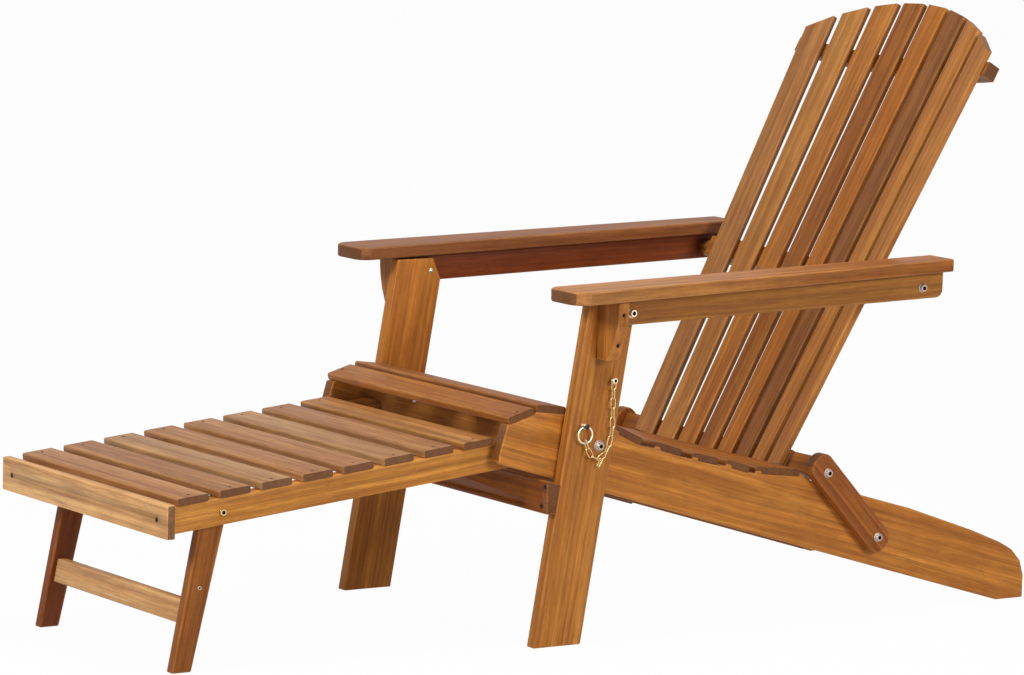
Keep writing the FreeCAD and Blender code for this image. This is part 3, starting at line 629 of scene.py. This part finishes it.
def slatRow(name, s, rowPoints):
    # straight slats on points that carry tilt and width, lying across the chair
    tree, entry, leave = newTree(name + "Tree", {key: s[key] for key in
                                                ("length", "thickness", "edgeRadius", "endEase")})
    value = {key: entry.outputs[key] for key in ("length", "thickness", "edgeRadius", "endEase")}
    half = Num(tree, value["length"]) * 0.5
    inner = half - Num(tree, value["endEase"])
    line = add(tree, "GeometryNodeCurvePrimitiveLine")
    for side, socket in ((half * -1.0, "Start"), (half, "End")):
        point = add(tree, "ShaderNodeCombineXYZ")
        linkUp(tree, side.socket, point.inputs[0])
        linkUp(tree, point.outputs[0], line.inputs[socket])
    cut = add(tree, "GeometryNodeResampleCurve")
    linkUp(tree, line.outputs[0], cut.inputs["Curve"])
    cut.inputs["Count"].default_value = 4
    index = Num(tree, add(tree, "GeometryNodeInputIndex").outputs[0])
    # four points along the slat: the outer two at its ends, the inner two where the ease starts
    sideOf = add(tree, "ShaderNodeMath", operation="SIGN")
    linkUp(tree, (index - 1.5).socket, sideOf.inputs[0])
    outer = add(tree, "ShaderNodeMath", operation="GREATER_THAN")
    away = add(tree, "ShaderNodeMath", operation="ABSOLUTE")
    linkUp(tree, (index - 1.5).socket, away.inputs[0])
    linkUp(tree, away.outputs[0], outer.inputs[0])
    outer.inputs[1].default_value = 1.0
    reach = inner + Num(tree, outer.outputs[0]) * Num(tree, value["endEase"])
    spot = add(tree, "ShaderNodeCombineXYZ")
    linkUp(tree, (reach * Num(tree, sideOf.outputs[0])).socket, spot.inputs[0])
    moved = add(tree, "GeometryNodeSetPosition")
    linkUp(tree, cut.outputs[0], moved.inputs["Geometry"])
    linkUp(tree, spot.outputs[0], moved.inputs["Position"])
    radius = add(tree, "GeometryNodeSetCurveRadius")
    linkUp(tree, moved.outputs[0], radius.inputs["Curve"])
    linkUp(tree, (1.0 - Num(tree, outer.outputs[0]) * s["endShrink"]).socket,
           radius.inputs["Radius"])
    sweep = add(tree, "GeometryNodeCurveToMesh")
    linkUp(tree, radius.outputs[0], sweep.inputs["Curve"])
    shape = boardProfile(tree, s["meanWidth"], Num(tree, value["thickness"]),
                         Num(tree, value["edgeRadius"]))
    linkUp(tree, shape, sweep.inputs["Profile Curve"])
    sweep.inputs["Fill Caps"].default_value = True
    if "Scale" in sweep.inputs:
        linkUp(tree, (1.0 - Num(tree, outer.outputs[0]) * s["endShrink"]).socket,
               sweep.inputs["Scale"])
    spread = add(tree, "GeometryNodeInstanceOnPoints")
    linkUp(tree, entry.outputs[0], spread.inputs["Points"])
    linkUp(tree, sweep.outputs[0], spread.inputs["Instance"])
    turn = add(tree, "ShaderNodeCombineXYZ")
    tilt = add(tree, "GeometryNodeInputNamedAttribute", data_type="FLOAT")
    tilt.inputs["Name"].default_value = "tilt"
    linkUp(tree, tilt.outputs[0], turn.inputs[0])
    linkUp(tree, turn.outputs[0], spread.inputs["Rotation"])
    wide = add(tree, "GeometryNodeInputNamedAttribute", data_type="FLOAT")
    wide.inputs["Name"].default_value = "widthRatio"
    grow = add(tree, "ShaderNodeCombineXYZ")
    grow.inputs[0].default_value = 1.0
    grow.inputs[2].default_value = 1.0
    linkUp(tree, wide.outputs[0], grow.inputs[1])
    linkUp(tree, grow.outputs[0], spread.inputs["Scale"])
    finishTree(tree, leave, spread.outputs[0], oiledWood)
    mesh = bpy.data.meshes.new(name + "Points")
    mesh.from_pydata([row[0] for row in rowPoints], [], [])
    for key, column in (("tilt", 1), ("widthRatio", 2)):
        layer = mesh.attributes.new(key, "FLOAT", "POINT")
        for number, row in enumerate(rowPoints):
            layer.data[number].value = row[column]
    return runTree(name, tree, s, mesh)


def paintSlats(piece, count, frames, palette, seed):
    # each slat is an equal run of faces; it gets its own grain and tint
    mesh = piece.data
    addGrainLayers(mesh)
    share = len(mesh.polygons) // count
    for number in range(count):
        faces = [mesh.polygons[k] for k in range(number * share, (number + 1) * share)]
        along, flat, centre = frames[number]
        paintBoard(mesh, faces, along, flat, tints[palette[number]], seed + number, Vector(centre))
    for polygon in mesh.polygons:
        polygon.use_smooth = True
    mesh.set_sharp_from_angle(angle=math.radians(28))


ottomanSlats = {
    "length": 0.4788, "thickness": 0.012, "edgeRadius": 0.0030, "endEase": 0.0012,
    "endShrink": 0.02, "meanWidth": 0.0545, "pitch": 0.0734, "count": 8, "slope": 5.93,
    "first": (-0.799, 0.218), "start": 0.0045, "lift": 0.0475,
    # the grey and dun tints hold a painted sheen over each slat's own tone
    "palette": ("sheenDun", "sheenDun", "grey", "sheenDun", "sheenDun", "grey", "sheenDun", "tan"),
}


def makeOttomanSlats(s):
    along, lift = Vector(sloped(s["slope"])), Vector(sloped(s["slope"] + 90))
    rows, frames = [], []
    for number in range(s["count"]):
        centre = (Vector((0, *s["first"])) + lift * s["lift"]
                  + along * (s["start"] + s["pitch"] * number + s["meanWidth"] / 2))
        rows.append((centre, math.radians(s["slope"]), 1.0))
        frames.append((sideways, lift, centre))
    piece = slatRow("ottomanSlats", s, rows)
    paintSlats(piece, s["count"], frames, s["palette"], 300)
    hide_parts(*["ottoman_slat_%d" % (k + 1) for k in range(s["count"])])
    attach(piece, "ottoman")
    return frames


ottomanPlaces = makeOttomanSlats(ottomanSlats)

seatSlats = {
    "length": 0.5268, "thickness": 0.0115, "edgeRadius": 0.0034, "endEase": 0.0012,
    "endShrink": 0.02, "meanWidth": 0.055,
    "start": -0.2237, "run": 0.5738, "base": 0.2389, "drop": 0.143,
    "shares": ((0.0, 0.081, 0.874, 0.967), (0.094, 0.190, 1.0, 0.951),
               (0.220, 0.316, 0.907, 0.768), (0.356, 0.452, 0.716, 0.536),
               (0.495, 0.588, 0.495, 0.383), (0.624, 0.712, 0.341, 0.255),
               (0.742, 0.823, 0.231, 0.138), (0.844, 1.0, 0.125, 0.055)),
    "palette": ("amber", "brown", "brown", "russet", "dark", "brown", "amber", "russet"),
}


def makeSeatSlats(s):
    rows, frames = [], []
    for near, far, high, low in s["shares"]:
        front = Vector((0, s["start"] + s["run"] * near, s["base"] + s["drop"] * high))
        rear = Vector((0, s["start"] + s["run"] * far, s["base"] + s["drop"] * low))
        along = rear - front
        up = Vector((0, -along.z, along.y)).normalized()
        centre = (front + rear) / 2 - up * s["thickness"] / 2
        rows.append((centre, math.atan2(along.z, along.y), along.length / s["meanWidth"]))
        frames.append((sideways, up, centre))
    piece = slatRow("seatSlats", s, rows)
    paintSlats(piece, len(rows), frames, s["palette"], 400)
    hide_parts("seat_nosing_slat", "seat_rear_wide_slat",
                *["seat_slat_%d" % k for k in range(2, 8)])
    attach(piece, "seat_frame")
    return frames


seatPlaces = makeSeatSlats(seatSlats)

backSlats = {
    "count": 8, "gap": 0.0128, "halfBottom": 0.202, "halfTop": 0.247, "halfRun": 0.7648,
    "foot": -0.013, "crown": 0.830, "archRadius": 0.411, "curveRadius": 0.96,
    "face": -0.015, "thickness": 0.0115, "edgeRadius": 0.0026, "meanWidth": 0.0466,
    "steps": 30, "lean": 29.3, "pivot": (0.3895, 0.2411),
    "palette": ("rose", "tan", "amber", "brown", "orange", "olive", "honey", "honey"),
}


def makeBackSlats(s):
    names = ("gap", "halfBottom", "halfTop", "halfRun", "foot", "crown", "archRadius",
             "curveRadius", "face", "thickness", "edgeRadius", "meanWidth", "count", "steps")
    tree, entry, leave = newTree("backFanTree", {key: s[key] for key in names})
    v = {key: Num(tree, entry.outputs[key]) for key in names}
    # eight upright unit slats, each a swept rounded board from 0 to 1
    line = add(tree, "GeometryNodeCurvePrimitiveLine")
    line.inputs["End"].default_value = (0, 0, 1)
    cut = add(tree, "GeometryNodeResampleCurve")
    linkUp(tree, line.outputs[0], cut.inputs["Curve"])
    linkUp(tree, v["steps"].socket, cut.inputs["Count"])
    shape = boardProfile(tree, v["meanWidth"], v["thickness"], v["edgeRadius"])
    sweep = add(tree, "GeometryNodeCurveToMesh")
    linkUp(tree, cut.outputs[0], sweep.inputs["Curve"])
    linkUp(tree, shape, sweep.inputs["Profile Curve"])
    sweep.inputs["Fill Caps"].default_value = True
    row = add(tree, "GeometryNodeMeshLine")
    linkUp(tree, v["count"].socket, row.inputs["Count"])
    row.inputs["Offset"].default_value = (0, 0, 0)
    spread = add(tree, "GeometryNodeInstanceOnPoints")
    linkUp(tree, row.outputs[0], spread.inputs["Points"])
    linkUp(tree, sweep.outputs[0], spread.inputs["Instance"])
    keep = add(tree, "GeometryNodeStoreNamedAttribute", data_type="FLOAT", domain="INSTANCE")
    keep.inputs["Name"].default_value = "slatNumber"
    linkUp(tree, spread.outputs[0], keep.inputs["Geometry"])
    linkUp(tree, add(tree, "GeometryNodeInputIndex").outputs[0], keep.inputs["Value"])
    realize = add(tree, "GeometryNodeRealizeInstances")
    linkUp(tree, keep.outputs[0], realize.inputs[0])
    number = add(tree, "GeometryNodeInputNamedAttribute", data_type="FLOAT")
    number.inputs["Name"].default_value = "slatNumber"
    number = Num(tree, number.outputs[0])
    split = add(tree, "ShaderNodeSeparateXYZ")
    linkUp(tree, add(tree, "GeometryNodeInputPosition").outputs[0], split.inputs[0])
    profileA, profileB = Num(tree, split.outputs[0]), Num(tree, split.outputs[1])
    share = Num(tree, split.outputs[2])

    def across(up):
        # centre of the slat and its width ratio at a height
        half = v["halfBottom"] + (v["halfTop"] - v["halfBottom"]) * up / v["halfRun"]
        width = (half * 2.0 - (v["count"] - 1.0) * v["gap"]) / v["count"]
        centre = width * 0.5 - half + number * (width + v["gap"])
        return centre, width / v["meanWidth"]

    def archAt(x):
        return v["crown"] - v["archRadius"] + (v["archRadius"] * v["archRadius"] - x * x).root()

    up = v["foot"] + share * (v["crown"] - v["foot"])
    for again in range(3):
        centre, ratio = across(up)
        x = centre + profileA * ratio
        up = v["foot"] + share * (archAt(x) - v["foot"])
    depth = (v["face"] + v["thickness"] * 0.5 - centre * centre / (v["curveRadius"] * 2.0)
             - profileA * centre / v["curveRadius"] + profileB)
    slide = x + profileB * centre / v["curveRadius"]
    spot = add(tree, "ShaderNodeCombineXYZ")
    for index, value in enumerate((slide, depth, up)):
        linkUp(tree, value.socket, spot.inputs[index])
    moved = add(tree, "GeometryNodeSetPosition")
    linkUp(tree, realize.outputs[0], moved.inputs["Geometry"])
    linkUp(tree, spot.outputs[0], moved.inputs["Position"])
    finishTree(tree, leave, moved.outputs[0], oiledWood)
    piece = runTree("backSlats", tree, s)
    lean = math.radians(s["lean"])
    frameOf = Matrix(((1, 0, 0, 0), (0, math.cos(lean), math.sin(lean), s["pivot"][0]),
                      (0, -math.sin(lean), math.cos(lean), s["pivot"][1]), (0, 0, 0, 1)))
    piece.data.transform(frameOf)
    cleanNormals(piece.data)
    frames = []
    for number in range(s["count"]):
        side = (number - 3.5) * (s["meanWidth"] + s["gap"])
        frames.append((Vector((side * 0.24, *Vector(backUp())[1:])),
                       Vector((side / s["curveRadius"], math.cos(lean), -math.sin(lean))),
                       Vector((side, 0.5, 0.5))))
    paintSlats(piece, s["count"], frames, s["palette"], 500)
    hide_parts(*["back_slat_%d" % (k + 1) for k in range(s["count"])])
    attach(piece, "backrest")


def cleanNormals(mesh):
    work = bmesh.new()
    work.from_mesh(mesh)
    bmesh.ops.recalc_face_normals(work, faces=work.faces)
    work.to_mesh(mesh)
    work.free()


makeBackSlats(backSlats)
print("slats made")


# ---------- metal
metalSettings = {
    "brass": {"colour": (0.78, 0.58, 0.27, 1), "stain": (0.36, 0.23, 0.09, 1), "roughness": 0.28},
    "zinc": {"colour": (0.60, 0.49, 0.43, 1), "stain": (0.28, 0.20, 0.16, 1), "roughness": 0.36},
    "cream": {"colour": (0.94, 0.86, 0.66, 1), "stain": (0.60, 0.48, 0.28, 1), "roughness": 0.34},
    # the dark metal is a painted shade, put on screw heads and the lock pins' outer ends where
    # their holes are in shade
    "holeShade": {"colour": (0.075, 0.055, 0.042, 1), "stain": (0.03, 0.02, 0.014, 1),
             "roughness": 0.55},
    # near black inside head sockets: painted shade
    "socket": (0.012, 0.009, 0.007, 1),
}


def makeMetal(name, s):
    material = bpy.data.materials.new(name)
    material.use_nodes = True
    tree = material.node_tree
    shader = tree.nodes["Principled BSDF"]
    place = add(tree, "ShaderNodeTexCoord").outputs["Object"]
    deep = add(tree, "ShaderNodeAttribute", attribute_name="socketShade").outputs["Fac"]
    stain = noise(tree, place, 420.0, 4.0, 0.6, 0.3)
    scratch = noise(tree, stretched(tree, place, (900.0, 900.0, 5200.0)), 1.0, 3.0, 0.6)
    colour = mixColour(tree, ramp(tree, stain, [(0.42, grey(0.0)), (0.72, grey(0.85))]),
                       s["colour"], s["stain"])
    # socket faces take a near black: painted shade inside the recess
    colour = mixColour(tree, deep, colour, metalSettings["socket"])
    linkUp(tree, colour, shader.inputs["Base Color"])
    linkUp(tree, ramp(tree, scratch, [(0.3, grey(s["roughness"] - 0.08)),
                                      (0.7, grey(s["roughness"] + 0.16))]),
           shader.inputs["Roughness"])
    shader.inputs["Metallic"].default_value = 1.0
    bump = add(tree, "ShaderNodeBump")
    bump.inputs["Strength"].default_value = 0.12
    bump.inputs["Distance"].default_value = 0.0002
    linkUp(tree, scratch, bump.inputs["Height"])
    linkUp(tree, bump.outputs[0], shader.inputs["Normal"])
    return material


brass = makeMetal("wornBrass", metalSettings["brass"])
zinc = makeMetal("zincSteel", metalSettings["zinc"])
cream = makeMetal("creamBrass", metalSettings["cream"])
# near black metal for painted shade in screw holes and on the lock pins' ends
holeShade = makeMetal("holeShadeMetal", metalSettings["holeShade"])

# places in (along, up), and distances from the chair's middle plane
chainPlaces = {"screw": (-0.0462, 0.4166), "screwReach": 0.016, "screwFace": 0.2968,
               "pinEnd": (-0.0972, 0.3251), "layer": 0.2935}
metalLimits = {"pinFace": 0.2962, "bossWood": 0.2855, "boardScrews": -0.785,
               "crossbarScrews": -0.12, "widestScrew": 0.012, "screwLift": 0.0009}
footrestPlaces = {"bolt": (-0.718, 0.2456), "boltFace": 0.2364, "legScrew": (-0.742, 0.128),
                  "boltSize": 0.9, "legScrewSize": 1.2}
headSizes = {"chainScrew": 0.76, "sunkScrew": 1.45}

# the ring hangs from its top point and lies in the layer outside the legs
ringSettings = {"top": (-0.0978, 0.347), "layer": 0.2935, "reach": 0.0018, "grow": 1.14}


def nearChainScrew(spot):
    along, up = chainPlaces["screw"]
    return abs(spot.y - along) + abs(spot.z - up) < chainPlaces["screwReach"]


def pinFace(spot):
    return abs(spot.x) > metalLimits["pinFace"]


def islands(work):
    # groups of joined vertices, one for each solid
    left, groups = set(work.verts), []
    while left:
        stack, group = [left.pop()], []
        while stack:
            vertex = stack.pop()
            group.append(vertex)
            for edge in vertex.link_edges:
                other = edge.other_vert(vertex)
                if other in left:
                    left.remove(other)
                    stack.append(other)
        groups.append(group)
    return groups


def growRing(work, s):
    # widens the pin's ring about the point that hangs in the pin's eye
    for group in islands(work):
        if all(abs(abs(v.co.x) - s["layer"]) < s["reach"] for v in group):
            for v in group:
                v.co.y = s["top"][0] + (v.co.y - s["top"][0]) * s["grow"]
                v.co.z = s["top"][1] + (v.co.z - s["top"][1]) * s["grow"]


def dressMetal(node, metal, other=None, rule=None):
    # a merged copy with smooth curves; faces that meet the rule take the other material
    mesh = nodes[node].data.copy()
    work = bmesh.new()
    work.from_mesh(mesh)
    bmesh.ops.remove_doubles(work, verts=work.verts, dist=0.00002)
    if node.startswith("lock_pin"):
        growRing(work, ringSettings)
    work.to_mesh(mesh)
    work.free()
    mesh.name = node + "Metal"
    mesh.materials.clear()
    mesh.materials.append(metal)
    if other:
        mesh.materials.append(other)
    if other is oiledWood:
        addGrainLayers(mesh)
        paintBoard(mesh, mesh.polygons, sideways, plumb, tints["umber"], 77, Vector())
    for polygon in mesh.polygons:
        polygon.use_smooth = True
        if other and rule(polygon.center):
            polygon.material_index = 1
    mesh.set_sharp_from_angle(angle=math.radians(35))
    piece = bpy.data.objects.new(node + ".metal", mesh)
    scene.collection.objects.link(piece)
    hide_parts(node)
    return piece


# where the second material is the dark metal, it paints the shade of the holes that screw heads and
# pin ends sit in
metalNodes = {
    "front_leg_screws": (cream, holeShade, lambda spot: not nearChainScrew(spot)),
    "front_leg_pivot_bolts": (zinc, None, None),
    "arm_front_bolts": (cream, None, None),
    "link_foot_bolts": (zinc, None, None),
    "link_top_bolts": (zinc, None, None),
    "back_pivot_bosses": (zinc, oiledWood, lambda spot: abs(spot.x) < metalLimits["bossWood"]),
    "lock_pin_left": (cream, holeShade, pinFace),
    "lock_pin_right": (cream, holeShade, pinFace),
    "ottoman_hardware": (brass, holeShade, lambda spot: spot.y < metalLimits["boardScrews"]),
}
for metalNode, (metalKind, metalOther, metalRule) in metalNodes.items():
    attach(dressMetal(metalNode, metalKind, metalOther, metalRule), nodes[metalNode]["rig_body"])
for chainSide, chainX in (("left", chainPlaces["layer"]), ("right", -chainPlaces["layer"])):
    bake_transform(dressMetal("pin_chain_" + chainSide, brass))
dressBoard("ottoman_guide_dowel", sideways, plumb, "umber", 78)

headSettings = {
    "bolt": {"radius": 0.0062, "socket": 0.0034, "height": 0.0016, "deep": 0.0013,
             "ease": 0.0007, "sides": 28},
    "screw": {"radius": 0.0027, "socket": 0.0014, "height": 0.0003, "deep": 0.0002,
              "ease": 0.0002, "sides": 16},
}


def makeHeads(name, body, s, metal, places):
    # round heads with a socket painted dark as shade, one for each place, facing and size
    tree, entry, leave = newTree(name + "Tree", s)
    v = {key: Num(tree, entry.outputs[key]) for key in s}

    def wall(low, high, depth, bottom, dark):
        cone = add(tree, "GeometryNodeMeshCone", fill_type="NONE")
        feed(tree, cone, Vertices=v["sides"], Radius_Bottom=low, Radius_Top=high, Depth=depth)
        lift = add(tree, "ShaderNodeCombineXYZ")
        linkUp(tree, bottom.socket, lift.inputs[2])
        raised = add(tree, "GeometryNodeTransform")
        linkUp(tree, cone.outputs["Mesh"], raised.inputs["Geometry"])
        linkUp(tree, lift.outputs[0], raised.inputs["Translation"])
        mark = add(tree, "GeometryNodeStoreNamedAttribute", data_type="FLOAT", domain="FACE")
        mark.inputs["Name"].default_value = "socketShade"
        mark.inputs["Value"].default_value = dark
        linkUp(tree, raised.outputs[0], mark.inputs["Geometry"])
        return mark.outputs[0]

    none = v["height"] * 0.0
    thin = v["height"] * 0.02
    top = v["radius"] - v["ease"]
    # the last two walls, the socket, are marked for the painted shade inside it
    pieces = [wall(v["radius"], top, v["height"], none, 0.0),
              wall(top, v["socket"], thin, v["height"], 0.0),
              wall(v["socket"] * 0.9, v["socket"], v["deep"] + thin, v["height"] - v["deep"], 1.0),
              wall(v["socket"] * 0.9, v["socket"] * 0.02, thin, v["height"] - v["deep"], 1.0)]
    whole = add(tree, "GeometryNodeJoinGeometry")
    for piece in pieces:
        linkUp(tree, piece, whole.inputs[0])
    spread = add(tree, "GeometryNodeInstanceOnPoints")
    linkUp(tree, entry.outputs[0], spread.inputs["Points"])
    linkUp(tree, whole.outputs[0], spread.inputs["Instance"])
    facing = add(tree, "GeometryNodeInputNamedAttribute", data_type="FLOAT_VECTOR")
    facing.inputs["Name"].default_value = "facing"
    turn = add(tree, "FunctionNodeAlignRotationToVector", axis="Z")
    linkUp(tree, facing.outputs[0], turn.inputs["Vector"])
    linkUp(tree, turn.outputs[0], spread.inputs["Rotation"])
    size = add(tree, "GeometryNodeInputNamedAttribute", data_type="FLOAT")
    size.inputs["Name"].default_value = "headSize"
    linkUp(tree, size.outputs[0], spread.inputs["Scale"])
    finishTree(tree, leave, spread.outputs[0], metal)
    mesh = bpy.data.meshes.new(name + "Points")
    mesh.from_pydata([place for place, facing, size in places], [], [])
    # both layers are made first, because a new layer makes an older reference stale
    mesh.attributes.new("facing", "FLOAT_VECTOR", "POINT")
    mesh.attributes.new("headSize", "FLOAT", "POINT")
    for number, (place, direction, size) in enumerate(places):
        mesh.attributes["facing"].data[number].vector = Vector(direction)
        mesh.attributes["headSize"].data[number].value = size
    piece = runTree(name, tree, s, mesh)
    for polygon in piece.data.polygons:
        polygon.use_smooth = True
    piece.data.set_sharp_from_angle(angle=math.radians(35))
    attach(piece, body)
    return piece


for boltNode in ("front_leg_pivot_bolts", "arm_front_bolts", "link_foot_bolts", "link_top_bolts",
                 "back_pivot_bosses"):
    boltLow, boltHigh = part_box(boltNode)
    boltMiddle = (boltLow + boltHigh) / 2
    makeHeads(boltNode + "Heads", nodes[boltNode]["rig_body"], headSettings["bolt"],
              cream if boltNode == "arm_front_bolts" else zinc,
              [((side * boltHigh.x, boltMiddle.y, boltMiddle.z), (side, 0, 0), 1.0)
               for side in (-1, 1)])
makeHeads("chainScrewHeads", "front_legs", headSettings["bolt"], cream,
          [((side * chainPlaces["screwFace"], *chainPlaces["screw"]), (side, 0, 0),
            headSizes["chainScrew"]) for side in (-1, 1)])
# slat screw heads take the dark metal as painted shade of their holes
for slatBody, slatPlaces, slatSide, slatThick in (("ottoman", ottomanPlaces, 0.2235, 0.012),
                                                  ("seat_frame", seatPlaces, 0.253, 0.0115)):
    makeHeads(slatBody + "SlatScrews", slatBody, headSettings["screw"], holeShade,
              [(centre + up * slatThick / 2 + Vector((side * slatSide, 0, 0)), up, 1.0)
               for along, up, centre in slatPlaces for side in (-1, 1)])


def sunkScrews(node):
    # the outer face of each sunk screw in a node, with the way it faces
    work = bmesh.new()
    work.from_mesh(nodes[node].data)
    bmesh.ops.remove_doubles(work, verts=work.verts, dist=0.00002)
    found = []
    for group in islands(work):
        xs, ys, zs = ([v.co[axis] for v in group] for axis in range(3))
        middle = Vector([(min(values) + max(values)) / 2 for values in (xs, ys, zs)])
        lift, size = metalLimits["screwLift"], headSizes["sunkScrew"]
        inFront = middle.y < metalLimits["crossbarScrews"]
        if nearChainScrew(middle):
            continue
        if inFront and max(xs) - min(xs) < metalLimits["widestScrew"]:
            found.append(((middle.x, min(ys) - lift, middle.z), (0, -1, 0), size))
        elif not inFront:
            side = 1 if middle.x > 0 else -1
            face = max(xs) if side > 0 else min(xs)
            found.append(((face + side * lift, middle.y, middle.z), (side, 0, 0), size))
    work.free()
    return found


# leg and board screw heads take the dark metal as painted shade of their holes
makeHeads("legScrewHeads", "front_legs", headSettings["screw"], holeShade,
          sunkScrews("front_leg_screws"))
makeHeads("boardScrewHeads", "ottoman", headSettings["screw"], holeShade,
          sunkScrews("ottoman_hardware"))
makeHeads("ottomanBoltHeads", nodes["ottoman_hardware"]["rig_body"], headSettings["bolt"], brass,
          [((side * footrestPlaces["boltFace"], *footrestPlaces["bolt"]), (side, 0, 0),
            footrestPlaces["boltSize"]) for side in (-1, 1)])
footLow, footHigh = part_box("ottoman_leg_left")
makeHeads("ottomanLegScrews", "ottoman_legs", headSettings["screw"], zinc,
          [((side * footHigh.x, *footrestPlaces["legScrew"]), (side, 0, 0),
            footrestPlaces["legScrewSize"]) for side in (-1, 1)])
print("metal made")
